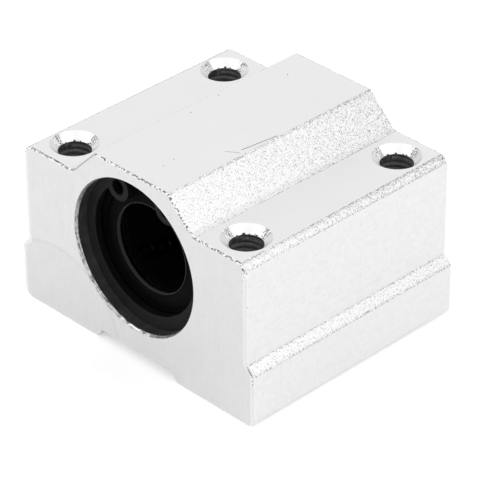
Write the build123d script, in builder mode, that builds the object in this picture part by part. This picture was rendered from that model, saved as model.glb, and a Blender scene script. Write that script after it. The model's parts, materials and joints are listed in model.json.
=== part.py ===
"""Linear bearing block: an aluminium housing that holds a recirculating-ball bearing for a 12 mm shaft.

All lengths are in millimetres. The origin is in the middle of the base. X runs across the block,
Y along the shaft and Z up. The sizes are built up from the shaft and the balls outwards.
"""

from build123d import *
from math import cos, degrees, pi, radians, sin, sqrt
import os

# Shaft and ball circuits
shaft_diameter = 12.0
circuits = 4
first_circuit_angle = 45.0
ball_diameter = 2.381
ball_gap = 0.368
balls_in_row = 7
balls_in_turn = 2

# Bearing sleeve
sleeve_wall = 1.2
race_width = 1.5

# Cage
cage_end_wall = 0.478
cage_shaft_gap = 0.09
track_ledge = 0.34

# Side rings and seals
side_ring_thickness = 0.5
side_ring_shaft_gap = 0.7
seal_thickness = 1.3
seal_rim_width = 1.1
seal_web_depth = 0.4
seal_lip_width = 0.55
seal_lip_rise = 0.3

# Retaining rings that hold the bearing endways
ring_thickness = 1.0
ring_section_width = 2.4
ring_section_taper = 0.32
ring_eye_diameter = 2.0
ring_eye_wall = 0.9
ring_lug_setback = 0.4
ring_lug_angle = 29.3
ring_end_past_eye = 3.0
front_ring_turn = 2.0

# Housing: the machined features
shaft_height = 15.0
ring_groove_depth = 0.48
ring_groove_play = 0.08
front_ring_depth = 1.9
rear_ring_depth = 1.06
bolt_hole_diameter = 4.3
bolt_countersink_diameter = 6.3
bolt_bore_wall = 2.58
bolt_side_distance = 5.75
bolt_end_distance = 4.5

# Housing: the extruded outline
crown_wall = 1.68
hump_rise = 4.2
hump_top_width = 13.0
hump_flank_run = 4.15
side_step_height = 7.6
side_step_rise = 1.2
side_step_inset = 1.15
base_relief_width = 12.6
base_relief_flank = 0.8
base_relief_depth = 1.25
shoulder_fillet = 1.65
foot_fillet = 1.35
base_relief_fillet = 1.2
hump_root_fillet = 1.8
hump_edge_fillet = 0.3
side_step_fillet = 0.4

# Clearances
shaft_play = 0.01
race_play = 0.04
return_play = 0.103
track_play = 0.06
cage_play = 0.1
pocket_play = 0.02
lip_play = 0.05
end_play = 0.05
bearing_fit = 0.02
ring_play = 0.02

# Sizes that follow: the ball circuits
ball_radius = ball_diameter / 2
ball_pitch = ball_diameter + ball_gap
row_length = balls_in_row * ball_pitch
turn_radius = balls_in_turn * ball_pitch / pi
track_half_width = ball_radius + track_play
load_row_radius = shaft_diameter / 2 + shaft_play + ball_radius
return_row_radius = sqrt(load_row_radius**2 + (2 * turn_radius) ** 2)

# Sizes that follow: the bearing
race_radius = load_row_radius + ball_radius + race_play
relief_radius = return_row_radius + ball_radius + return_play
sleeve_diameter = 2 * (relief_radius + sleeve_wall)
cage_length = row_length + 2 * (turn_radius + track_half_width + cage_end_wall)
end_pocket_depth = seal_thickness + side_ring_thickness + 2 * end_play
sleeve_length = cage_length + 2 * end_pocket_depth
lip_radius = shaft_diameter / 2 + lip_play

# Sizes that follow: the housing
bore_diameter = sleeve_diameter + 2 * bearing_fit
ring_groove_diameter = bore_diameter + 2 * ring_groove_depth
block_length = sleeve_length + 2 * (ring_play + ring_thickness) + front_ring_depth + rear_ring_depth
bearing_setback = (front_ring_depth - rear_ring_depth) / 2
bolt_spacing_x = bore_diameter + bolt_hole_diameter + 2 * bolt_bore_wall
bolt_spacing_y = block_length - 2 * bolt_end_distance
block_width = bolt_spacing_x + 2 * bolt_side_distance
hump_height = shaft_height + bore_diameter / 2 + crown_wall
shoulder_height = hump_height - hump_rise

shaft_axis = Axis((0, 0, shaft_height), (0, 1, 0))


def across(y):
    """The plane across the shaft at a place along it, with x across the block and y up."""
    return Plane(origin=(0, y, shaft_height), x_dir=(1, 0, 0), z_dir=(0, -1, 0))


def circuit_plane(number):
    """The flat plane of one ball circuit: x from load row to return row, y along the shaft, z outwards."""
    angle = radians(first_circuit_angle + number * 360 / circuits)
    out = Vector(cos(angle), 0, sin(angle))
    side = Vector(sin(angle), 0, -cos(angle))
    return Plane(origin=Vector(0, 0, shaft_height) + out * load_row_radius, x_dir=side, z_dir=out)


def finish(piece, name):
    """Names a finished piece and writes its file."""
    piece.label = name
    export_step(piece, f"parts/{name}.step")


def finish_in_bore(piece, name):
    """Finishes a piece of the bearing, which sits a little behind the middle of the block."""
    finish(piece.moved(Location((0, bearing_setback, 0))), name)


def round_outline(outline):
    """Rounds the corners of the extruded outline, each group with its own radius."""
    def corners(x, z):
        return outline.vertices().filter_by(
            lambda v: abs(abs(v.X) - x) < 1e-4 and abs(v.Y - z) < 1e-4
        )

    half = block_width / 2
    upper = half - side_step_inset
    top = hump_top_width / 2
    relief = base_relief_width / 2
    fillet(corners(upper, shoulder_height), shoulder_fillet)
    fillet(corners(half, 0), foot_fillet)
    fillet(corners(relief + base_relief_flank, 0), base_relief_fillet)
    fillet(corners(top + hump_flank_run, shoulder_height), hump_root_fillet)
    fillet(corners(top, hump_height), hump_edge_fillet)
    steps = corners(half, side_step_height) + corners(upper, side_step_height + side_step_rise)
    fillet(steps, side_step_fillet)


def make_housing():
    """One extrusion with rounded shoulders, milled ends, a through bore and four holes to be tapped."""
    half = block_width / 2
    upper = half - side_step_inset
    top = hump_top_width / 2
    relief = base_relief_width / 2
    with BuildPart() as housing:
        with BuildSketch(Plane.XZ.offset(-block_length / 2)) as outline:
            with BuildLine():
                Polyline(
                    (0, base_relief_depth),
                    (relief, base_relief_depth),
                    (relief + base_relief_flank, 0),
                    (half, 0),
                    (half, side_step_height),
                    (upper, side_step_height + side_step_rise),
                    (upper, shoulder_height),
                    (top + hump_flank_run, shoulder_height),
                    (top, hump_height),
                    (0, hump_height),
                )
                mirror(about=Plane.YZ)
            make_face()
            round_outline(outline)
        extrude(amount=block_length)
        # Bearing bore and the two grooves of the retaining rings
        with BuildSketch(across(-block_length / 2)):
            Circle(bore_diameter / 2)
        extrude(amount=-block_length, mode=Mode.SUBTRACT)
        for end, ring_depth in ((-1, front_ring_depth), (1, rear_ring_depth)):
            with BuildSketch(across(end * (block_length / 2 - ring_depth))):
                Circle(ring_groove_diameter / 2)
            groove_width = ring_thickness + ring_groove_play
            extrude(amount=end * groove_width, mode=Mode.SUBTRACT)
        # Bolt holes, countersunk at the shoulders
        with Locations((0, 0, shoulder_height)):
            with GridLocations(bolt_spacing_x, bolt_spacing_y, 2, 2):
                CounterSinkHole(
                    bolt_hole_diameter / 2,
                    bolt_countersink_diameter / 2,
                    depth=shoulder_height,
                    counter_sink_angle=90,
                )
    return housing.part


def make_sleeve():
    """The hardened outer cylinder: an inward race for each circuit, and room at the ends for the seals."""
    with BuildPart() as sleeve:
        with BuildSketch(across(-sleeve_length / 2)):
            Circle(sleeve_diameter / 2)
        extrude(amount=-sleeve_length)
        with BuildSketch(across(-sleeve_length / 2)):
            Circle(relief_radius)
        extrude(amount=-sleeve_length, mode=Mode.SUBTRACT)
        with BuildSketch(across(-cage_length / 2)):
            with PolarLocations(relief_radius, circuits, first_circuit_angle):
                Rectangle(2 * (relief_radius - race_radius), race_width)
            Circle(relief_radius + sleeve_wall / 2, mode=Mode.INTERSECT)
            Circle(race_radius, mode=Mode.SUBTRACT)
        extrude(amount=-cage_length)
    return sleeve.part


def make_track():
    """The space of one ball circuit: two grooves with ledges that keep the balls in, and a pocket at each end."""
    depth = track_half_width
    floor = depth - track_ledge
    height = relief_radius - load_row_radius + sleeve_wall
    plane = circuit_plane(0)
    with BuildPart() as track:
        for row in (0, 2 * turn_radius):
            corner = plane.from_local_coords(Vector(row, row_length / 2, 0))
            with BuildSketch(Plane(corner, x_dir=plane.x_dir, z_dir=-plane.y_dir)):
                with BuildLine():
                    Polyline((0, -depth), (floor, -depth), (depth, -floor), (depth, height), (0, height))
                    mirror(about=Plane.YZ)
                make_face()
            extrude(amount=row_length)
        for end in (-1, 1):
            centre = plane.from_local_coords(Vector(turn_radius, end * row_length / 2, -depth))
            with BuildSketch(Plane(centre, x_dir=plane.x_dir, z_dir=plane.z_dir)):
                Circle(turn_radius + depth)
                with Locations((0, end * turn_radius)):
                    Rectangle(4 * turn_radius, 2 * turn_radius, mode=Mode.INTERSECT)
            extrude(amount=depth + height)
    return track.part


def make_cage():
    """The moulded ball cage: a thick tube keyed by the sleeve's races, with a closed track a circuit."""
    track = make_track()
    key_radius = race_radius - cage_play
    cage_radius = relief_radius - cage_play
    with BuildPart() as cage:
        with BuildSketch(across(-cage_length / 2)):
            Circle(cage_radius)
            with PolarLocations(cage_radius, circuits, first_circuit_angle):
                Rectangle(2 * (cage_radius - key_radius), race_width + 2 * cage_play, mode=Mode.SUBTRACT)
            Circle(shaft_diameter / 2 + cage_shaft_gap, mode=Mode.SUBTRACT)
        extrude(amount=-cage_length)
        for number in range(circuits):
            add(track.rotate(shaft_axis, -number * 360 / circuits), mode=Mode.SUBTRACT)
    return cage.part


def make_ball():
    """One ball with 20 flat facets, which reaches as far along each axis as the round one."""
    near = ball_radius / ((1 + sqrt(5)) / 2)
    corners = []
    for a in (near, -near):
        for b in (ball_radius, -ball_radius):
            corners += [(0, a, b), (b, 0, a), (a, b, 0)]
    with BuildPart() as ball:
        ConvexPolyhedron(corners)
    return ball.part


def row_places(x):
    """Where the balls of a straight row lie in the circuit's plane, and how each is turned."""
    return [(x, (i + 0.5) * ball_pitch - row_length / 2, 0) for i in range(balls_in_row)]


def turn_places(end):
    """Where the balls of a half turn lie in the circuit's plane, and how each is turned.

    Each leans with the path, so that the corners of its facets clear the wall and the next ball.
    """
    lean = 0.6
    angles = [(i + 0.5) * pi / balls_in_turn for i in range(balls_in_turn)]
    return [
        (
            turn_radius * (1 - cos(a)),
            end * (row_length / 2 + turn_radius * sin(a)),
            end * lean * degrees(a - pi / 2),
        )
        for a in angles
    ]


def make_balls(number, places):
    """Separate balls at places in one circuit's plane."""
    ball = make_ball()
    with BuildPart() as balls:
        for x, y, turned in places:
            with Locations(circuit_plane(number) * Location((x, y, 0), (0, 0, turned))):
                add(ball)
    return balls.part


def make_side_ring(end):
    """The thin steel washer that stops the cage, behind the seal."""
    place = cage_length / 2 + end_play
    with BuildPart() as side_ring:
        with BuildSketch(across(end * place)):
            Circle(relief_radius - pocket_play)
            Circle(shaft_diameter / 2 + side_ring_shaft_gap, mode=Mode.SUBTRACT)
        extrude(amount=-end * side_ring_thickness)
    return side_ring.part


def make_seal(end):
    """The moulded rubber seal: a rim, a sunken web and a lip that stands up round the shaft."""
    face = sleeve_length / 2 - end_play
    rim = relief_radius - pocket_play
    step = rim - seal_rim_width
    profile = (
        (rim, seal_thickness),
        (rim, 0),
        (step, 0),
        (step, seal_web_depth),
        (lip_radius + seal_lip_width, seal_web_depth),
        (lip_radius, seal_web_depth - seal_lip_rise),
        (lip_radius, seal_thickness),
    )
    with BuildPart() as seal:
        with BuildSketch(Plane.XY.offset(shaft_height)):
            with BuildLine():
                Polyline(*[(radius, end * (face - depth)) for radius, depth in profile], close=True)
            make_face()
        revolve(axis=shaft_axis)
    return seal.part


def make_retaining_ring(end):
    """An internal spring ring: its section tapers towards two lugs with plier eyes, either side of a gap."""
    outer = ring_groove_diameter / 2 - ring_play
    inner = outer - ring_section_width + ring_section_taper
    lug_radius = ring_eye_diameter / 2 + ring_eye_wall
    eye_circle = outer - ring_lug_setback - lug_radius
    gap_angle = radians(ring_lug_angle - ring_end_past_eye)
    gap_corner = (2 * outer * sin(gap_angle), 2 * outer * cos(gap_angle))
    with BuildPart() as ring:
        with BuildSketch(across(end * (sleeve_length / 2 + ring_play))):
            Circle(outer)
            with Locations((0, ring_section_taper)):
                Circle(inner, mode=Mode.SUBTRACT)
            with BuildLine():
                Polyline((0, 0), gap_corner, (-gap_corner[0], gap_corner[1]), (0, 0))
            make_face(mode=Mode.SUBTRACT)
            with PolarLocations(eye_circle, 2, 90 - ring_lug_angle, 2 * ring_lug_angle, endpoint=True):
                Circle(lug_radius)
                Circle(ring_eye_diameter / 2, mode=Mode.SUBTRACT)
        extrude(amount=-end * ring_thickness)
    return ring.part


os.makedirs("parts", exist_ok=True)
finish(make_housing(), "housing")
finish_in_bore(make_sleeve(), "bearing_sleeve")
finish_in_bore(make_cage(), "ball_cage")
for side, end, ring_turn in (("front", -1, front_ring_turn), ("rear", 1, 0)):
    finish_in_bore(make_retaining_ring(end).rotate(shaft_axis, -ring_turn), f"{side}_retaining_ring")
    finish_in_bore(make_side_ring(end), f"{side}_side_ring")
    finish_in_bore(make_seal(end), f"{side}_seal")
for number in range(circuits):
    finish_in_bore(make_balls(number, row_places(0)), f"load_row_{number + 1}")
    finish_in_bore(make_balls(number, row_places(2 * turn_radius)), f"return_row_{number + 1}")
    finish_in_bore(make_balls(number, turn_places(-1)), f"front_turn_{number + 1}")
    finish_in_bore(make_balls(number, turn_places(1)), f"rear_turn_{number + 1}")
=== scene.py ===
import json
import math
import random

import bmesh
import bpy
from mathutils import Matrix, Vector


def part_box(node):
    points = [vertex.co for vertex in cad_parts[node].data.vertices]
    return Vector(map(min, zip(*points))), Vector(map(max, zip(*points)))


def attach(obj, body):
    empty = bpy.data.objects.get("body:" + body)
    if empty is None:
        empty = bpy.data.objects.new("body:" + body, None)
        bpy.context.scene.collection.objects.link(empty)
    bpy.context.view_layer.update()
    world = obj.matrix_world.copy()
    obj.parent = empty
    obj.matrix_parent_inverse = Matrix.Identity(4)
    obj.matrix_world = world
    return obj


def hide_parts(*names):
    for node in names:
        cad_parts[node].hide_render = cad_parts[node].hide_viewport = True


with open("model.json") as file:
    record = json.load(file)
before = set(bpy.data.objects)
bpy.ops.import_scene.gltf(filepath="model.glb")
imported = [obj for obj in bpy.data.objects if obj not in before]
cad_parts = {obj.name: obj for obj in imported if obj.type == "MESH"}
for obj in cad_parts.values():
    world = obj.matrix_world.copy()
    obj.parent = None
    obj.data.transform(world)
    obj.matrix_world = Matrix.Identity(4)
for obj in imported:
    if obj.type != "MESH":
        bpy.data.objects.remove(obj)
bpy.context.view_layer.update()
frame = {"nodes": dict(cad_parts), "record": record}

MM = 0.001


# Housing block
# One length of extruded aluminium, sawn and milled at both ends, bored through for the bearing.
# Its flanks and edge bands keep the rough blasted skin, and its tops are milled smooth.
end_chamfer = 0.24 * MM
rim_break = 0.15 * MM
bearing_fit = 0.02 * MM
countersink_depth = 1.0 * MM
flat_angle = math.radians(1.0)
crease_angle = math.radians(28.0)
aluminium_metallic = 0.85
zone_count = 10
MILLED, BLASTED, FACED, COUNTERSUNK, BORED, BURRED, KNOCKED, TAPPED, MOUTH, EXTRUDED = range(zone_count)


def copy_of_node(name):
    """A bmesh of a CAD node with its loose triangles joined and its flat faces made whole."""
    bm = bmesh.new()
    bm.from_mesh(frame["nodes"][name].data)
    bmesh.ops.remove_doubles(bm, verts=bm.verts, dist=0.0005 * MM)
    bmesh.ops.dissolve_limit(bm, angle_limit=flat_angle, verts=bm.verts, edges=bm.edges)
    return bm


def link_piece(name, bm, *finishes):
    """Turns a bmesh into a smooth-shaded object with sharp creases and flat faces kept flat."""
    mesh = bpy.data.meshes.new(name)
    bm.to_mesh(mesh)
    bm.free()
    mesh.shade_smooth()
    mesh.set_sharp_from_angle(angle=crease_angle)
    for finish in finishes:
        mesh.materials.append(finish)
    piece = bpy.data.objects.new(name, mesh)
    bpy.context.scene.collection.objects.link(piece)
    shading = piece.modifiers.new("even_shading", "WEIGHTED_NORMAL")
    shading.keep_sharp = True
    shading.weight = 90
    return piece


block_low, block_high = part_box("housing")
bore_low, bore_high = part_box("bearing_sleeve")
shaft_height = (bore_low.z + bore_high.z) / 2
bore_radius = (bore_high.z - bore_low.z) / 2 + bearing_fit
bolt_mount = frame["record"]["mounts"][1]
shoulder_height = bolt_mount["pos_m"][2] + countersink_depth
bolt_spacing = [bolt_mount["dims"][key] * MM for key in ("spacing_x_mm", "spacing_y_mm")]
bolt_radius = bolt_mount["dims"]["hole_r_mm"] * MM
rim_radius = bolt_radius + countersink_depth
bolt_places = [
    Vector((across * bolt_spacing[0] / 2, along * bolt_spacing[1] / 2, 0))
    for across in (-1, 1)
    for along in (-1, 1)
]

block = copy_of_node("housing")


def distance_to_shaft(place):
    """How far a place lies from the shaft's axis."""
    return math.hypot(place.x, place.z - shaft_height)


def distance_to_hole(place):
    """How far a place lies from the axis of the nearest bolt hole."""
    return min((place.xy - hole.xy).length for hole in bolt_places)


def is_end_edge(edge):
    """True where a milled end face turns the corner to an outer face of the block."""
    if len(edge.link_faces) != 2 or any(abs(abs(v.co.y) - block_high.y) > 0.01 * MM for v in edge.verts):
        return False
    if all(distance_to_shaft(v.co) < bore_radius + 0.05 * MM for v in edge.verts):
        return False
    ends = [abs(face.normal.y) > 0.99 for face in edge.link_faces]
    return ends[0] != ends[1]


def is_hole_rim(edge):
    """True where a countersink opens on the top of a shoulder."""
    return len(edge.link_faces) == 2 and all(
        abs(v.co.z - shoulder_height) < 0.01 * MM and abs(distance_to_hole(v.co) - rim_radius) < 0.05 * MM
        for v in edge.verts
    )


for is_rim, width, segments in ((is_end_edge, end_chamfer, 2), (is_hole_rim, rim_break, 2)):
    bmesh.ops.bevel(
        block, geom=[edge for edge in block.edges if is_rim(edge)], offset=width, offset_type="OFFSET",
        segments=segments, profile=0.5, affect="EDGES", material=-1, clamp_overlap=True,
    )


def block_zone(face):
    """Which finish a face of the block has, by where it lies and which way it looks."""
    place, normal = face.calc_center_median(), face.normal
    from_hole = distance_to_hole(place)
    if from_hole < rim_radius + 0.1 * MM and abs(normal.z) < 0.99:
        return TAPPED if from_hole < bolt_radius + 0.02 * MM else COUNTERSUNK
    if distance_to_shaft(place) < bore_radius + 0.75 * MM and abs(place.y) < block_high.y - 0.001 * MM:
        return BORED
    if abs(normal.y) > 0.99:
        return FACED
    if abs(place.y) > block_high.y - 1.1 * end_chamfer and abs(normal.y) > 0.05:
        return BURRED
    on_hump = place.z > shoulder_height + 0.01 * MM and abs(normal.x) > 0.12
    on_shoulder = place.z > shoulder_height - 1.7 * MM and 0.33 < abs(normal.x) < 0.92
    on_step = 7.0 * MM < place.z < 9.4 * MM and normal.z > 0.1
    if on_hump or on_shoulder or on_step:
        return BLASTED
    return MILLED if abs(normal.z) > 0.9 else EXTRUDED


for face in block.faces:
    face.material_index = block_zone(face)

# The upright end edges are rounded wider, towards the end face
upright_extra = 0.5 * MM
side_step_inset = 1.15 * MM
for vert in {vert for face in block.faces if face.material_index == BURRED for vert in face.verts}:
    if abs(vert.co.x) > 19.3 * MM:
        share = max(0, min(1, (shoulder_height - 0.4 * MM - vert.co.z) / (1.2 * MM), vert.co.z / (1.4 * MM)))
        along = (block_high.y - abs(vert.co.y)) / end_chamfer
        across = 1 - along if not 0.1 < along < 0.9 else along
        vert.co.x -= math.copysign(upright_extra * across * share, vert.co.x)

skin = [vert.co for face in block.faces if face.material_index == BLASTED for vert in face.verts]
hump_root = max(abs(place.x) for place in skin if place.z > shoulder_height) / MM
band = [place for place in skin if 20 * MM < place.z < shoulder_height - 0.001 * MM]
band_top, band_foot = min(abs(place.x) for place in band) / MM, min(place.z for place in band) / MM

# Thread cutters: a triangular ridge wound down each hole, right-handed.
# Its section gives a reach past the hole's wall, and a rise as a share of the pitch.
thread_pitch = 0.8 * MM
thread_reach = 0.15 * MM
thread_steps = 40
thread_turns = 15
thread_start = math.radians(150)
thread_top = shoulder_height - 1.35 * MM
chip_height = shoulder_height - 0.97 * MM
chips = ((142, 0.16), (166, 0.1), (118, 0.09), (96, 0.11))
cutter = bmesh.new()
for place in bolt_places:
    wound = -2 * math.pi * thread_turns
    ridge = [(-0.1 * MM, 0.38), (thread_reach, 0.04), (thread_reach, -0.04), (-0.1 * MM, -0.38)]
    corners = [
        cutter.verts.new((bolt_radius + reach, 0, thread_top + rise * thread_pitch))
        for reach, rise in ridge
    ]
    bmesh.ops.rotate(cutter, verts=corners, cent=(0, 0, 0), matrix=Matrix.Rotation(thread_start, 3, "Z"))
    bmesh.ops.translate(cutter, verts=corners, vec=place)
    section = cutter.faces.new(corners)
    cap = bmesh.ops.duplicate(cutter, geom=[section])
    bmesh.ops.spin(
        cutter, geom=list(section.edges), cent=place, axis=(0, 0, 1), angle=wound,
        dvec=(0, 0, -thread_pitch / thread_steps), steps=thread_turns * thread_steps, use_duplicate=False,
    )
    loose = [item for item in cap["geom"] if isinstance(item, bmesh.types.BMVert)]
    bmesh.ops.rotate(cutter, verts=loose, cent=place, matrix=Matrix.Rotation(wound, 3, "Z"))
    bmesh.ops.translate(cutter, verts=loose, vec=(0, 0, -thread_pitch * thread_turns))
bmesh.ops.remove_doubles(cutter, verts=cutter.verts, dist=0.001 * MM)
bmesh.ops.recalc_face_normals(cutter, faces=cutter.faces)

# Chips torn out of each thread's mouth: a heading in degrees and a size in millimetres for each
random.seed(7)
for place in bolt_places:
    for heading, size in chips:
        around = math.radians(heading + random.uniform(-9, 9))
        radius = size * random.uniform(0.9, 1.2) * MM
        made = bmesh.ops.create_icosphere(cutter, subdivisions=2, radius=radius)["verts"]
        chip = Vector((math.cos(around), math.sin(around), 0)) * (bolt_radius + 0.04 * MM)
        bmesh.ops.translate(cutter, verts=made, vec=place + chip + Vector((0, 0, chip_height)))


def spin_about_shaft(section, steps):
    """A closed ring: a section of radius and place along the shaft in millimetres, spun right round."""
    bm = bmesh.new()
    verts = [bm.verts.new((radius * MM, y * MM, shaft_height)) for radius, y in section]
    edges = [bm.edges.new((a, b)) for a, b in zip(verts, verts[1:] + verts[:1])]
    bmesh.ops.spin(
        bm, geom=verts + edges, cent=(0, 0, shaft_height), axis=(0, 1, 0), angle=2 * math.pi,
        steps=steps, use_merge=True,
    )
    bmesh.ops.remove_doubles(bm, verts=bm.verts, dist=0.0005 * MM)
    bmesh.ops.recalc_face_normals(bm, faces=bm.faces)
    return bm


# Mouth cutters: a steep lead-in turned at each end of the bore
mouth_cutters = []
for way in (-1, 1):
    end = block_high.y / MM
    bore = bore_radius / MM
    lead_in = [(bore - 0.3, -0.2), (bore + 0.24, -0.2), (bore - 0.026, 0.56), (bore - 0.3, 0.56)]
    mouth_cutters.append(spin_about_shaft([(radius, way * (end - depth)) for radius, depth in lead_in], 160))

# Dents and nicks, in millimetres. A dent is a shallow bruise, with its place and radius.
# A nick also has its stretch along x, y and z.
random.seed(11)
front, rear = block_low.y / MM, block_high.y / MM
top = block_high.z / MM
shoulder = shoulder_height / MM
corner_dents = [
    ((19.3, front - 0.45, shoulder - 0.55), 0.56),
    ((19.0, front - 0.5, shoulder - 0.3), 0.56),
    ((19.5, front - 0.42, shoulder - 1.1), 0.52),
    ((19.45, rear - 0.55, shoulder - 0.25), 0.34),
    ((-19.55, front - 0.2, shoulder - 0.6), 0.4),
]
corner_nicks = [
    # The crescent on the front right corner, dark with painted shade
    ((19.45, front, shoulder - 0.02), 0.1, (1, 1, 1)),
    ((19.55, front, shoulder - 0.21), 0.1, (1, 1, 1.3)),
    ((19.59, front, shoulder - 0.45), 0.12, (0.8, 1, 1.3)),
    ((19.54, front, shoulder - 0.72), 0.14, (0.8, 1, 1.3)),
    ((19.42, front, shoulder - 1.0), 0.13, (0.8, 1, 1.3)),
    ((19.28, front, shoulder - 1.28), 0.09, (1, 1, 1.2)),
    ((19.32, front, shoulder - 1.62), 0.07, (1.4, 1, 0.8)),
    ((19.5, front, shoulder - 1.72), 0.1, (1.4, 1, 0.7)),
    ((19.72, front, shoulder - 1.6), 0.1, (1.2, 1, 0.8)),
    # Two spots down the upright edge, the slash over the step, and two spots under it
    ((19.85, front, 16.4), 0.22, (0.8, 1, 1.4)),
    ((19.85, front, 12.7), 0.16, (0.8, 1, 1.2)),
    ((19.77, front, 8.55), 0.1, (1, 1, 1.5)),
    ((19.94, front, 8.36), 0.11, (1, 1, 1.5)),
    ((20.11, front, 8.17), 0.12, (1, 1, 1.5)),
    ((20.28, front, 7.98), 0.12, (1, 1, 1.5)),
    ((20.45, front, 7.79), 0.11, (1, 1, 1.5)),
    ((20.62, front, 7.6), 0.1, (1, 1, 1.5)),
    ((20.65, front, 7.0), 0.1, (0.8, 1, 1.3)),
    ((20.66, front, 6.45), 0.12, (0.8, 1, 1.3)),
    # The rear right edge and corner
    ((19.85, rear, 12.1), 0.2, (0.8, 1, 1.3)),
    ((19.68, rear - 0.4, shoulder - 0.3), 0.13, (1, 1, 1.2)),
    ((19.66, rear - 0.7, shoulder - 0.35), 0.12, (1, 1.2, 1)),
    # The front left corner
    ((-18.7, front, shoulder), 0.2, (1.6, 1, 0.7)),
    ((-18.0, front, shoulder), 0.14, (1.6, 1, 0.7)),
    ((-19.6, front, shoulder - 0.7), 0.16, (1, 1, 1.4)),
    # Single specks on the hump's top
    ((-3.35, 12.6, top), 0.09, (1, 1, 0.5)),
    ((-5.81, 2.86, top), 0.09, (1, 1, 0.5)),
    ((-5.19, -2.48, top), 0.08, (1, 1, 0.5)),
    ((1.33, -11.57, top), 0.08, (1, 1, 0.5)),
    ((1.61, -13.54, top), 0.08, (1, 1, 0.5)),
]
dents, nicks = bmesh.new(), bmesh.new()
for place, size in corner_dents:
    made = bmesh.ops.create_icosphere(dents, subdivisions=3, radius=size * MM)["verts"]
    for vert in made:
        vert.co *= random.uniform(0.97, 1.03)
    bmesh.ops.translate(dents, verts=made, vec=Vector(place) * MM)
for place, size, stretch in corner_nicks:
    made = bmesh.ops.create_icosphere(nicks, subdivisions=2, radius=size * MM)["verts"]
    for vert in made:
        vert.co *= random.uniform(0.75, 1.1)
    bmesh.ops.scale(nicks, verts=made, vec=stretch)
    bmesh.ops.translate(nicks, verts=made, vec=Vector(place) * MM)

# Burrs in rows along the upper edges of the front: each row has its ends in x and its height
for start, end, height in ((-18.2, -10.8, shoulder), (10.8, 18.2, shoulder), (-6.2, 6.2, top)):
    run = 0.0
    while run < 1:
        burr = Vector((start + run * (end - start), front + 0.1, height - 0.03)) * MM
        radius = random.uniform(0.06, 0.11) * MM
        made = bmesh.ops.create_icosphere(nicks, subdivisions=1, radius=radius)["verts"]
        bmesh.ops.scale(nicks, verts=made, vec=(random.uniform(1.2, 2.4), 1, 1))
        bmesh.ops.translate(nicks, verts=made, vec=burr)
        run += random.uniform(0.04, 0.1)

# Scratches on the hump's top: the points each runs through, and its width
scratch_depth = 0.03 * MM
scratches = [
    ([(4.4, -6.0), (5.1, -5.5), (6.0, -4.9)], 0.06),
    ([(5.6, -4.3), (5.8, -2.9), (6.0, -1.2), (6.3, 1.1)], 0.1),
]
for points, width in scratches:
    for start, end in zip(points, points[1:]):
        run = Vector(end) - Vector(start)
        middle = (Vector(start) + Vector(end)) / 2
        made = bmesh.ops.create_cube(nicks, size=1)["verts"]
        bmesh.ops.scale(nicks, verts=made, vec=(run.length * MM, width * MM, 2 * scratch_depth))
        bmesh.ops.rotate(nicks, verts=made, matrix=Matrix.Rotation(math.atan2(run.y, run.x), 3, "Z"))
        bmesh.ops.translate(nicks, verts=made, vec=(middle.x * MM, middle.y * MM, block_high.z))


def carve(bm, tools_and_zones):
    """Cuts tool shapes out of a bmesh. The faces that a tool leaves get its zone.

    The body and the tools carry empty material slots, because a cut keeps only the zones that have one.
    """
    mesh = bpy.data.meshes.new("carved")
    bm.to_mesh(mesh)
    bm.free()
    body = bpy.data.objects.new("carved", mesh)
    bpy.context.scene.collection.objects.link(body)
    extras = [body]
    for tool, zone in tools_and_zones:
        for face in tool.faces:
            face.material_index = zone
        tool_mesh = bpy.data.meshes.new("tool")
        tool.to_mesh(tool_mesh)
        tool.free()
        tool_object = bpy.data.objects.new("tool", tool_mesh)
        bpy.context.scene.collection.objects.link(tool_object)
        cut = body.modifiers.new("cut", "BOOLEAN")
        cut.operation = "DIFFERENCE"
        cut.solver = "EXACT"
        cut.material_mode = "INDEX"
        cut.use_self = True
        cut.object = tool_object
        extras.append(tool_object)
    for extra in extras:
        for _ in range(zone_count):
            extra.data.materials.append(None)
    graph = bpy.context.evaluated_depsgraph_get()
    result = bmesh.new()
    result.from_mesh(bpy.data.meshes.new_from_object(body.evaluated_get(graph)))
    for extra in extras:
        bpy.data.objects.remove(extra)
    return result


block = carve(block, [
    (cutter, TAPPED), *((tool, MOUTH) for tool in mouth_cutters), (dents, BURRED), (nicks, KNOCKED),
])


def new_material(name):
    """An empty node material with its shader and its object coordinates."""
    material = bpy.data.materials.new(name)
    material.use_nodes = True
    tree = material.node_tree
    return material, tree, tree.nodes["Principled BSDF"], tree.nodes.new("ShaderNodeTexCoord").outputs["Object"]


def feed(tree, value, socket):
    """Sets a socket to a number or a colour, or links another socket to it."""
    if isinstance(value, (int, float)):
        socket.default_value = (value, value, value, 1) if socket.type == "RGBA" else value
    elif isinstance(value, tuple):
        socket.default_value = (*value, 1)
    else:
        tree.links.new(value, socket)


def add_noise(tree, place, size, detail=2.0, stretch=(1, 1, 1)):
    """Noise with spots of about the given size in millimetres, drawn out along an axis by stretch."""
    mapping = tree.nodes.new("ShaderNodeMapping")
    mapping.inputs["Scale"].default_value = [1 / (size * MM * way) for way in stretch]
    noise = tree.nodes.new("ShaderNodeTexNoise")
    noise.inputs["Scale"].default_value = 1.0
    noise.inputs["Detail"].default_value = detail
    tree.links.new(place, mapping.inputs["Vector"])
    tree.links.new(mapping.outputs["Vector"], noise.inputs["Vector"])
    return noise.outputs["Fac"]


def add_ramp(tree, value, *stops):
    """A colour ramp over a value: each stop is a place and a grey or a colour."""
    ramp = tree.nodes.new("ShaderNodeValToRGB")
    while len(ramp.color_ramp.elements) < len(stops):
        ramp.color_ramp.elements.new(0.5)
    for element, (position, colour) in zip(ramp.color_ramp.elements, stops):
        element.position = position
        element.color = (*colour, 1) if isinstance(colour, tuple) else (colour, colour, colour, 1)
    tree.links.new(value, ramp.inputs["Fac"])
    return ramp.outputs["Color"]


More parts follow.
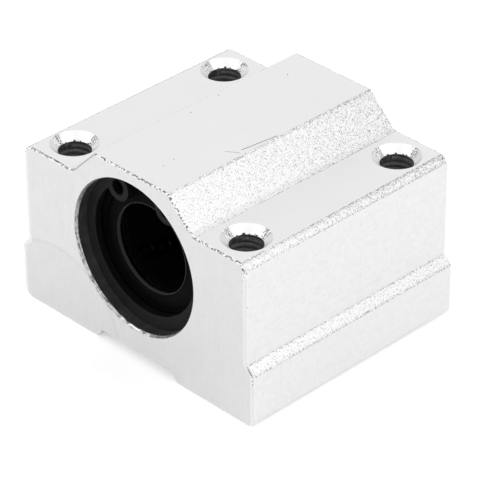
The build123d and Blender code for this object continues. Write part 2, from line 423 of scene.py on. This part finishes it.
def add_bump(tree, shader, height, depth):
    """Raises the surface by a height between 0 and 1, times a depth in millimetres."""
    bump = tree.nodes.new("ShaderNodeBump")
    bump.inputs["Strength"].default_value = 1.0
    bump.inputs["Distance"].default_value = depth * MM
    tree.links.new(height, bump.inputs["Height"])
    tree.links.new(bump.outputs["Normal"], shader.inputs["Normal"])


def add_mix(tree, share, first, second, blend="MIX"):
    """Mixes two colours by a share, which is a number or a socket."""
    mix = tree.nodes.new("ShaderNodeMix")
    mix.data_type = "RGBA"
    mix.blend_type = blend
    for value, socket in ((share, mix.inputs["Factor"]), (first, mix.inputs["A"]), (second, mix.inputs["B"])):
        feed(tree, value, socket)
    return mix.outputs["Result"]


def add_axes(tree, place):
    """The x, y and z of a place, each as a number of its own."""
    split = tree.nodes.new("ShaderNodeSeparateXYZ")
    tree.links.new(place, split.inputs["Vector"])
    return split.outputs["X"], split.outputs["Y"], split.outputs["Z"]


def add_math(tree, operation, *values, clamp=False):
    """One step of arithmetic on numbers or sockets."""
    node = tree.nodes.new("ShaderNodeMath")
    node.operation = operation
    node.use_clamp = clamp
    for value, socket in zip(values, node.inputs):
        feed(tree, value, socket)
    return node.outputs["Value"]


def add_near(tree, value, centre, reach):
    """1 where a number is at a centre in millimetres, falling to 0 at a reach on either side."""
    away = add_math(tree, "ABSOLUTE", add_math(tree, "SUBTRACT", value, centre * MM))
    return add_math(tree, "SUBTRACT", 1.0, add_math(tree, "DIVIDE", away, reach * MM), clamp=True)


def add_fade(tree, value, start, end):
    """0 where a number is at or before a start in millimetres, rising to 1 at an end."""
    from_start = add_math(tree, "SUBTRACT", value, start * MM)
    return add_math(tree, "MULTIPLY", from_start, 1 / ((end - start) * MM), clamp=True)


def add_length(tree, first, second):
    """The length of a slanting line from its two straight sides."""
    squares = [add_math(tree, "MULTIPLY", side, side) for side in (first, second)]
    return add_math(tree, "SQRT", add_math(tree, "ADD", *squares))


def add_around(tree, x, y, z, radius):
    """A direction from an axis laid out at a radius, so that noise on it makes straight radial marks."""
    joined = tree.nodes.new("ShaderNodeCombineXYZ")
    for value, socket in zip((x, y, z), joined.inputs):
        feed(tree, value, socket)
    direction = tree.nodes.new("ShaderNodeVectorMath")
    direction.operation = "NORMALIZE"
    tree.links.new(joined.outputs["Vector"], direction.inputs[0])
    laid = tree.nodes.new("ShaderNodeVectorMath")
    laid.operation = "SCALE"
    laid.inputs["Scale"].default_value = radius
    tree.links.new(direction.outputs["Vector"], laid.inputs[0])
    return laid.outputs["Vector"]


def milled_aluminium():
    """The tops and the base: even pale metal with a breath of cloud and very fine cutter lines."""
    material, tree, shader, place = new_material("aluminium_milled")
    clouds = add_noise(tree, place, 5.0, 3.0)
    lines = add_noise(tree, place, 0.12, 2.0, (1, 12, 1))
    shade = add_mix(tree, 0.3, clouds, lines)
    tree.links.new(add_ramp(tree, shade, (0.35, 0.868), (0.65, 0.882)), shader.inputs["Base Color"])
    tree.links.new(add_ramp(tree, clouds, (0.3, 0.52), (0.7, 0.45)), shader.inputs["Roughness"])
    shader.inputs["Metallic"].default_value = aluminium_metallic
    add_bump(tree, shader, lines, 0.0015)
    return material


def blasted_aluminium():
    """The blasted skin: bright grain with dark pits, thicker along its borders and towards the rear."""
    material, tree, shader, place = new_material("aluminium_blasted")
    x, y, z = add_axes(tree, place)
    coarse = add_noise(tree, place, 0.2, 2.0)
    fine = add_noise(tree, place, 0.1, 2.0)
    grain = add_mix(tree, 0.35, coarse, fine)
    out = add_math(tree, "ABSOLUTE", x)
    border = 0.0
    for value, middle, reach in ((z, top - 0.12, 0.2), (out, hump_root, 0.22), (out, band_top + 0.1, 0.35),
                                 (z, band_foot, 0.25), (z, 8.85, 0.25), (z, 7.6, 0.3)):
        border = add_math(tree, "ADD", border, add_near(tree, value, middle, reach))
    on_step = add_math(tree, "LESS_THAN", z, 15 * MM)
    on_edge = add_math(tree, "GREATER_THAN", out, 17 * MM)
    placed_amount = add_mix(tree, on_step, add_mix(tree, on_edge, 0.02, 0.034), 0.01)
    slope = add_mix(tree, on_step, 0.06 / (35 * MM), 0.03 / (35 * MM))
    rearward = add_math(tree, "MULTIPLY_ADD", y, slope, placed_amount)
    pits = add_math(tree, "SUBTRACT", grain, add_math(tree, "MULTIPLY_ADD", border, 0.09, rearward))
    tree.links.new(add_ramp(tree, pits, (0.33, 0.4), (0.42, 0.79), (0.49, 0.915)), shader.inputs["Base Color"])
    shader.inputs["Metallic"].default_value = aluminium_metallic
    shader.inputs["Roughness"].default_value = 0.5
    add_bump(tree, shader, grain, 0.03)
    return material


def faced_aluminium():
    """The milled ends: faint upright streaks, and the edge of one round pass low on the left."""
    material, tree, shader, place = new_material("aluminium_faced")
    x, _, z = add_axes(tree, place)
    clouds = add_noise(tree, place, 2.5, 3.0)
    streaks = add_noise(tree, place, 0.5, 2.0, (1, 1, 9))
    specks = add_noise(tree, place, 0.16, 2.0)
    shade = add_mix(tree, 0.5, clouds, streaks)
    colour = add_ramp(tree, shade, (0.35, 0.787), (0.65, 0.82))
    reach = add_length(tree, add_math(tree, "ADD", x, 14.2 * MM), add_math(tree, "ADD", z, 1.2 * MM))
    inside = add_math(tree, "LESS_THAN", reach, 11.5 * MM)
    rim = add_near(tree, reach, 11.3, 0.4)
    pass_mark = add_math(tree, "MULTIPLY_ADD", rim, 0.045, add_math(tree, "MULTIPLY", inside, 0.025))
    mark = add_math(tree, "SUBTRACT", 1.0, pass_mark)
    speck = add_ramp(tree, specks, (0.28, 0.86), (0.38, 1.0))
    marked = add_mix(tree, 1.0, colour, mark, "MULTIPLY")
    tree.links.new(add_mix(tree, 1.0, marked, speck, "MULTIPLY"), shader.inputs["Base Color"])
    shader.inputs["Metallic"].default_value = aluminium_metallic
    shader.inputs["Roughness"].default_value = 0.5
    add_bump(tree, shader, streaks, 0.004)
    return material


def countersunk_aluminium():
    """The countersinks: bright cones with radial chatter on two sides, part real chatter and part painted
    reflection, and a far side painted pure white as a highlight.
    """
    material, tree, shader, place = new_material("aluminium_countersunk")
    x, y, _ = add_axes(tree, place)
    from_hole = []
    for value, spacing in zip((x, y), bolt_spacing):
        hole = add_math(tree, "MULTIPLY", add_math(tree, "SIGN", value), spacing / 2)
        from_hole.append(add_math(tree, "SUBTRACT", value, hole))
    around = add_around(tree, *from_hole, 0.0, rim_radius)
    chatter = add_noise(tree, around, 0.2, 3.0)
    crumbs = add_noise(tree, place, 0.2, 2.0)
    lean = tree.nodes.new("ShaderNodeVectorMath")
    lean.operation = "DOT_PRODUCT"
    lean.inputs[1].default_value = (-0.72, 0.69, 0)
    tree.links.new(around, lean.inputs[0])
    heading = lean.outputs["Value"]
    rim = rim_radius / MM
    # The chatter marks sit on the cone's two sides, where its dark surroundings show in it: real chatter with a
    # painted reflection. The far side, towards the rear left, is painted pure white as a highlight.
    chatter_and_reflection = add_math(tree, "MULTIPLY", add_near(tree, heading, 0.52 * rim, 0.3 * rim), 1.6, clamp=True)
    placed_amount = add_fade(tree, heading, 0.5 * rim, 0.2 * rim)
    marks = add_ramp(tree, add_mix(tree, 0.55, chatter, crumbs), (0.4, 0.1), (0.48, 0.5), (0.55, 0.95))
    lines = add_ramp(tree, chatter, (0.36, 0.6), (0.56, 0.86))
    plain = add_mix(tree, placed_amount, 1.0, lines)
    tree.links.new(add_mix(tree, chatter_and_reflection, plain, marks), shader.inputs["Base Color"])
    shader.inputs["Metallic"].default_value = aluminium_metallic
    shader.inputs["Roughness"].default_value = 0.45
    add_bump(tree, shader, chatter, 0.02)
    return material


def bored_aluminium():
    """The bore's wall and grooves: metal painted dark for the shade and the dark reflections inside the bore,
    with fine turning lines round the shaft.
    """
    material, tree, shader, place = new_material("aluminium_bored")
    patches = add_noise(tree, place, 1.6, 3.0)
    lines = add_noise(tree, place, 0.08, 2.0, (14, 1, 14))
    shade = add_mix(tree, 0.4, patches, lines)
    # The wall's colour is painted dark for the shade and the dark reflections inside the bore.
    tree.links.new(add_ramp(tree, shade, (0.35, 0.28), (0.65, 0.5)), shader.inputs["Base Color"])
    shader.inputs["Metallic"].default_value = 1.0
    shader.inputs["Roughness"].default_value = 0.35
    add_bump(tree, shader, lines, 0.01)
    return material


def burred_aluminium():
    """The broken end edges: bright and torn along the tops, calmer down the uprights, with two painted
    highlight lines along each upright chamfer.
    """
    material, tree, shader, place = new_material("aluminium_burred")
    x, y, z = add_axes(tree, place)
    tears = add_noise(tree, place, 0.26, 2.0, (1.3, 1, 1))
    high = add_fade(tree, z, 21.0, 22.5)
    torn = add_math(tree, "MULTIPLY_ADD", high, -0.19, add_math(tree, "ADD", tears, 0.06))
    spotted = add_ramp(tree, torn, (0.28, 0.15), (0.35, 0.6), (0.4, 0.95))
    below_step = add_math(tree, "LESS_THAN", z, 8.3 * MM)
    side = add_math(tree, "MULTIPLY_ADD", below_step, side_step_inset, block_high.x - side_step_inset)
    from_end = add_math(tree, "SUBTRACT", block_high.y, add_math(tree, "ABSOLUTE", y))
    from_side = add_math(tree, "SUBTRACT", side, add_math(tree, "ABSOLUTE", x))
    slant = end_chamfer / (end_chamfer + upright_extra)
    over = add_math(tree, "SUBTRACT", add_math(tree, "MULTIPLY", from_side, slant), from_end)
    # Two fine light lines along each upright chamfer are painted highlights, and the band between them is
    # dimmed a little.
    border = add_near(tree, add_math(tree, "ABSOLUTE", over), 0.16, 0.05)
    highlight_lined = add_mix(tree, 1.0, spotted, add_mix(tree, border, 0.86, 1.0), "MULTIPLY")
    upright = add_math(tree, "MULTIPLY", add_fade(tree, z, 21.5, 21.0), 0.85)
    calm = add_mix(tree, upright, spotted, highlight_lined)
    left_flank = add_math(tree, "MULTIPLY", add_near(tree, x, -8.6, 2.5), 4.0, clamp=True)
    dull = add_math(tree, "MULTIPLY", left_flank, high)
    tree.links.new(add_mix(tree, dull, calm, 0.5), shader.inputs["Base Color"])
    shader.inputs["Metallic"].default_value = aluminium_metallic
    shader.inputs["Roughness"].default_value = 0.45
    add_bump(tree, shader, tears, 0.04)
    return material


def knocked_aluminium():
    """Nicks and scratches: bruised metal painted dark for the shade in the dents and grooves, darkest on the
    hump and down the sides.
    """
    material, tree, shader, place = new_material("aluminium_knocked")
    z = add_axes(tree, place)[2]
    # Painted shade in the nicks and scratches, made darker on the hump's top and below the shoulders.
    low = add_math(tree, "MULTIPLY", add_math(tree, "LESS_THAN", z, shoulder_height - 2.5 * MM), 0.15)
    extra_nick_shade = add_math(tree, "MULTIPLY_ADD", add_near(tree, z, top, 0.2), 0.3, low)
    nick_shade = add_math(tree, "SUBTRACT", add_noise(tree, place, 0.3, 1.0), extra_nick_shade)
    tree.links.new(add_ramp(tree, nick_shade, (0.36, 0.06), (0.5, 0.25), (0.58, 0.9)), shader.inputs["Base Color"])
    shader.inputs["Metallic"].default_value = 0.6
    shader.inputs["Roughness"].default_value = 0.5
    add_bump(tree, shader, nick_shade, 0.03)
    return material


def tapped_aluminium():
    """The threads: dull grey metal painted dark for the shade inside the holes, with faint lighter and darker
    rings, and painted lighter towards the bottom.
    """
    material, tree, shader, place = new_material("aluminium_tapped")
    z = add_axes(tree, place)[2]
    wear = add_noise(tree, place, 0.3, 2.0)
    lines = add_noise(tree, place, 0.11, 1.0, (12, 12, 1))
    shade = add_mix(tree, 0.65, wear, lines)
    # The threads are painted dark for the shade inside the hole, and painted lighter towards the bottom to
    # offset the hole's own shade.
    hole_shade_colour = add_ramp(tree, shade, (0.4, 0.075), (0.52, 0.1), (0.62, 0.2))
    painted_light_low_in_hole = add_fade(tree, z, shoulder - 1.5, shoulder - 4.5)
    tree.links.new(add_mix(tree, painted_light_low_in_hole, hole_shade_colour, 0.3), shader.inputs["Base Color"])
    shader.inputs["Metallic"].default_value = 0.5
    shader.inputs["Roughness"].default_value = 0.6
    add_bump(tree, shader, wear, 0.01)
    return material


def mouth_aluminium():
    """The bore's lead-in: bright turned metal with broken dark streaks round it."""
    material, tree, shader, place = new_material("aluminium_mouth")
    x, _, z = add_axes(tree, place)
    around = add_around(tree, x, 0.0, add_math(tree, "SUBTRACT", z, shaft_height), bore_radius)
    arcs = add_noise(tree, around, 0.7, 4.0)
    rings = add_noise(tree, place, 0.1, 1.0, (12, 1, 12))
    streaks = add_mix(tree, 0.6, arcs, rings)
    colour = add_ramp(tree, streaks, (0.39, 0.16), (0.47, 0.75), (0.54, 1.0))
    tree.links.new(colour, shader.inputs["Base Color"])
    shader.inputs["Metallic"].default_value = aluminium_metallic
    shader.inputs["Roughness"].default_value = 0.4
    add_bump(tree, shader, streaks, 0.01)
    return material


def extruded_aluminium():
    """The sides and the foot: pale drawn skin, softly mottled, with faint lines along the block."""
    material, tree, shader, place = new_material("aluminium_extruded")
    mottle = add_noise(tree, place, 0.7, 4.0)
    drawn = add_noise(tree, place, 0.3, 2.0, (1, 25, 1))
    specks = add_noise(tree, place, 0.2, 2.0)
    shade = add_mix(tree, 0.35, mottle, drawn)
    colour = add_ramp(tree, shade, (0.35, 0.855), (0.65, 0.9))
    speck = add_ramp(tree, specks, (0.27, 0.8), (0.36, 1.0))
    tree.links.new(add_mix(tree, 1.0, colour, speck, "MULTIPLY"), shader.inputs["Base Color"])
    tree.links.new(add_ramp(tree, mottle, (0.3, 0.55), (0.7, 0.45)), shader.inputs["Roughness"])
    shader.inputs["Metallic"].default_value = aluminium_metallic
    add_bump(tree, shader, mottle, 0.012)
    return material


housing = link_piece(
    "housing_block", block, milled_aluminium(), blasted_aluminium(), faced_aluminium(), countersunk_aluminium(),
    bored_aluminium(), burred_aluminium(), knocked_aluminium(), tapped_aluminium(), mouth_aluminium(),
    extruded_aluminium(),
)
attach(housing, "root")
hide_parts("housing")


# Retaining rings
# Two stamped spring rings, blackened, that snap into the grooves in the bore and hold the bearing.
# Each has a lug with a plier eye at either side of its gap, and edges rounded by tumbling.
def blackened_steel():
    """Black phosphate on spring steel: dark grey with fine grain and a dull sheen."""
    material, tree, shader, place = new_material("ring_blackened")
    grain = add_noise(tree, place, 0.2, 3.0)
    patches = add_noise(tree, place, 2.0, 2.0)
    colour = add_mix(tree, patches, (0.005, 0.005, 0.006), (0.012, 0.012, 0.013))
    speck = add_ramp(tree, grain, (0.35, 0.7), (0.65, 1.0))
    tree.links.new(add_mix(tree, 1.0, colour, speck, "MULTIPLY"), shader.inputs["Base Color"])
    shader.inputs["Metallic"].default_value = 0.2
    shader.inputs["Specular IOR Level"].default_value = 0.1
    tree.links.new(add_ramp(tree, grain, (0.3, 0.5), (0.7, 0.38)), shader.inputs["Roughness"])
    add_bump(tree, shader, grain, 0.015)
    return material


ring_finish = blackened_steel()
for end in ("front", "rear"):
    ring = copy_of_node(f"{end}_retaining_ring")
    rims = [
        edge for edge in ring.edges
        if len(edge.link_faces) == 2 and edge.calc_face_angle() > math.radians(60)
    ]
    bmesh.ops.bevel(
        ring, geom=rims, offset=0.07 * MM, offset_type="OFFSET", segments=2, profile=0.5,
        affect="EDGES", material=-1, clamp_overlap=True,
    )
    piece = link_piece(f"{end}_snap_ring", ring, ring_finish)
    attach(piece, "root")
    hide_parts(f"{end}_retaining_ring")


# Seals
# Moulded rubber: a rim that fills the sleeve's end, a sunken web and a thin lip round the shaft.
# Each is spun about the shaft from its own section.
def seal_rubber():
    """Matt black rubber with a faint moulded texture, painted paler towards the lip, and with a painted
    highlight along the lip's edge.
    """
    material, tree, shader, place = new_material("seal_rubber")
    x, _, z = add_axes(tree, place)
    grain = add_noise(tree, place, 0.2, 3.0)
    radius = add_length(tree, x, add_math(tree, "SUBTRACT", z, shaft_height))
    # A thin painted highlight along the lip's edge, and the web painted paler towards the lip, where less shade
    # falls.
    placed_amount = add_near(tree, radius, 6.08, 0.12)
    painted_light_near_lip = add_near(tree, radius, 6.3, 2.0)
    colour = add_mix(tree, painted_light_near_lip, add_ramp(tree, grain, (0.3, 0.0008), (0.7, 0.002)), 0.006)
    tree.links.new(add_mix(tree, placed_amount, colour, (0.06, 0.06, 0.062)), shader.inputs["Base Color"])
    tree.links.new(add_ramp(tree, grain, (0.3, 0.6), (0.7, 0.5)), shader.inputs["Roughness"])
    shader.inputs["Specular IOR Level"].default_value = 0.03
    add_bump(tree, shader, grain, 0.01)
    return material


rubber = seal_rubber()
for end, way in (("front", -1), ("rear", 1)):
    low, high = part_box(f"{end}_seal")
    rim = (high.x - low.x) / 2 / MM
    outer_face = max(abs(low.y), abs(high.y)) / MM
    thickness = (high.y - low.y) / MM
    lip = frame["record"]["mounts"][0]["dims"]["r_mm"]
    profile = [
        (rim, thickness), (rim, 0.12), (rim - 0.1, 0.0), (rim - 1.08, 0.0), (rim - 1.26, 0.45),
        (lip + 1.55, 0.47), (lip + 0.95, 0.42), (lip + 0.55, 0.34), (lip + 0.2, 0.2), (lip + 0.07, 0.1),
        (lip + 0.02, 0.1), (lip, 0.16), (lip, 0.5), (lip + 0.35, 0.8), (rim - 1.1, 0.95),
        (rim - 1.1, thickness),
    ]
    section = [(radius, way * (outer_face - depth)) for radius, depth in profile]
    piece = link_piece(f"{end}_shaft_seal", spin_about_shaft(section, 128), rubber)
    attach(piece, "root")
    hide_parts(f"{end}_seal")


# Bearing sleeve and side rings
# A ground and hardened steel cylinder with a race for each ball circuit, and a stamped washer at each end.
# Both are plain steel; only a narrow band shows down the bore.
def ground_steel():
    """Ground bearing steel under a film of oil: grey, with fine lines round the shaft's axis."""
    material, tree, shader, place = new_material("bearing_steel")
    lines = add_noise(tree, place, 0.1, 2.0, (20, 1, 20))
    clouds = add_noise(tree, place, 2.0, 2.0)
    shade = add_mix(tree, 0.5, lines, clouds)
    tree.links.new(add_ramp(tree, shade, (0.35, 0.16), (0.65, 0.28)), shader.inputs["Base Color"])
    shader.inputs["Metallic"].default_value = 1.0
    tree.links.new(add_ramp(tree, lines, (0.3, 0.32), (0.7, 0.22)), shader.inputs["Roughness"])
    add_bump(tree, shader, lines, 0.004)
    return material


steel = ground_steel()
for name in ("bearing_sleeve", "front_side_ring", "rear_side_ring"):
    node = frame["nodes"][name]
    node.data.materials.clear()
    node.data.materials.append(steel)


# Ball cage
# One moulding in black plastic: a thick tube with four closed tracks, keyed between the sleeve's races.
# It carries the balls and shows as the dark wall of the bore.
def cage_plastic():
    """Black glass-filled plastic with a fine moulded grain."""
    material, tree, shader, place = new_material("cage_plastic")
    grain = add_noise(tree, place, 0.15, 3.0)
    tree.links.new(add_ramp(tree, grain, (0.3, 0.001), (0.7, 0.003)), shader.inputs["Base Color"])
    tree.links.new(add_ramp(tree, grain, (0.3, 0.55), (0.7, 0.45)), shader.inputs["Roughness"])
    shader.inputs["Specular IOR Level"].default_value = 0.02
    add_bump(tree, shader, grain, 0.01)
    return material


cage = frame["nodes"]["ball_cage"]
cage.data.materials.clear()
cage.data.materials.append(cage_plastic())


# Balls
# Seventy-two polished steel balls in four endless circuits: a loaded row, a return row and two turns each.
# Every ball is a true sphere where the bearing holds it.
def shaded_ball_steel():
    """Ball steel painted near black for the shade inside the bearing: smooth, with a soft haze."""
    material, tree, shader, place = new_material("ball_steel")
    haze = add_noise(tree, place, 0.6, 2.0)
    # Painted near black for the shade inside the bearing.
    tree.links.new(add_ramp(tree, haze, (0.3, 0.0012), (0.7, 0.003)), shader.inputs["Base Color"])
    tree.links.new(add_ramp(tree, haze, (0.3, 0.4), (0.7, 0.55)), shader.inputs["Roughness"])
    shader.inputs["Metallic"].default_value = 1.0
    return material


def ball_centres(name):
    """The middle of each separate ball in a CAD node."""
    bm = copy_of_node(name)
    centres, left = [], dict.fromkeys(bm.verts)
    while left:
        found, reached = [], [left.popitem()[0]]
        while reached:
            vert = reached.pop()
            found.append(vert.co.copy())
            for other in (link.other_vert(vert) for link in vert.link_edges):
                if other in left:
                    del left[other]
                    reached.append(other)
        centres.append(sum(found, Vector()) / len(found))
    bm.free()
    return sorted(centres, key=lambda centre: (centre.y, centre.x))


ball_radius = 2.381 / 2 * MM
ball_finish = shaded_ball_steel()
for stretch in ("load_row", "return_row", "front_turn", "rear_turn"):
    for number in range(1, 5):
        balls = bmesh.new()
        for centre in ball_centres(f"{stretch}_{number}"):
            made = bmesh.ops.create_icosphere(balls, subdivisions=3, radius=ball_radius)["verts"]
            bmesh.ops.translate(balls, verts=made, vec=centre)
        piece = link_piece(f"{stretch}_balls_{number}", balls, ball_finish)
        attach(piece, "root")
        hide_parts(f"{stretch}_{number}")


# Floor and light
# A plain white table under soft studio light, bright enough all round for the pale metal to look white.
def white_table():
    """White surface that the camera and the metal see as white, with the block's soft shadow kept."""
    material, tree, shader, _ = new_material("white_table")
    shader.inputs["Base Color"].default_value = (0.93, 0.93, 0.93, 1)
    shader.inputs["Roughness"].default_value = 0.9
    shader.inputs["Specular IOR Level"].default_value = 0.1
    shader.inputs["Emission Color"].default_value = (1, 1, 1, 1)
    rays = tree.nodes.new("ShaderNodeLightPath")
    mirrored = add_math(tree, "MULTIPLY", rays.outputs["Is Glossy Ray"], 0.08)
    seen = add_math(tree, "MULTIPLY_ADD", rays.outputs["Is Camera Ray"], 0.26, mirrored)
    tree.links.new(seen, shader.inputs["Emission Strength"])
    return material


table = bmesh.new()
bmesh.ops.create_grid(table, x_segments=2, y_segments=2, size=3.0)
floor = link_piece("table_top", table, white_table())

world = bpy.data.worlds.new("studio")
bpy.context.scene.world = world
world.use_nodes = True
sky_tree = world.node_tree
sky = sky_tree.nodes["Background"]
sky.inputs["Color"].default_value = (1, 1, 1, 1)
sky_rays = sky_tree.nodes.new("ShaderNodeLightPath")
sky_strength = sky_tree.nodes.new("ShaderNodeMapRange")
sky_strength.inputs["To Min"].default_value = 0.93
sky_strength.inputs["To Max"].default_value = 1.0
sky_tree.links.new(sky_rays.outputs["Is Camera Ray"], sky_strength.inputs["Value"])
sky_tree.links.new(sky_strength.outputs["Result"], sky.inputs["Strength"])


def softbox(name, place, size, power):
    """A large square lamp at a place in metres, turned towards the block."""
    lamp = bpy.data.lights.new(name, "AREA")
    lamp.shape = "SQUARE"
    lamp.size = size
    lamp.energy = power
    holder = bpy.data.objects.new(name, lamp)
    holder.location = place
    holder.rotation_euler = (Vector((0, 0, 0.014)) - Vector(place)).to_track_quat("-Z", "Y").to_euler()
    bpy.context.scene.collection.objects.link(holder)


softbox("key_light", (0.35, 0.1, 0.35), 0.3, 0.25)
softbox("fill_light", (-0.3, -0.45, 0.4), 0.4, 0.4)


# Camera
# It stands to the right of the front end and looks down at the block, at the photograph's angle.
azimuth = math.radians(45.884)
elevation = math.radians(32.916)
roll = math.radians(-0.542)
distance = 384.37 * MM
aim = Vector((0, 0, 14 * MM))
aim_aside, aim_up = -0.548 * MM, 3.642 * MM
focal_pixels, picture_pixels = 3064.4, 480
back = Vector((
    math.sin(azimuth) * math.cos(elevation), -math.cos(azimuth) * math.cos(elevation), math.sin(elevation)
))
level_right = Vector((0, 0, 1)).cross(back).normalized()
level_up = back.cross(level_right)
right = level_right * math.cos(roll) + level_up * math.sin(roll)
up = level_up * math.cos(roll) - level_right * math.sin(roll)
camera_data = bpy.data.cameras.new("camera")
camera_data.sensor_width = 36
camera_data.lens = focal_pixels / picture_pixels * camera_data.sensor_width
camera_data.clip_start, camera_data.clip_end = 0.01, 20
camera = bpy.data.objects.new("camera", camera_data)
turn = Matrix((right, up, back)).transposed().to_4x4()
camera.matrix_world = Matrix.Translation(aim - right * aim_aside - up * aim_up + back * distance) @ turn
bpy.context.scene.collection.objects.link(camera)
bpy.context.scene.camera = camera

bpy.context.scene.view_settings.view_transform = "Standard"
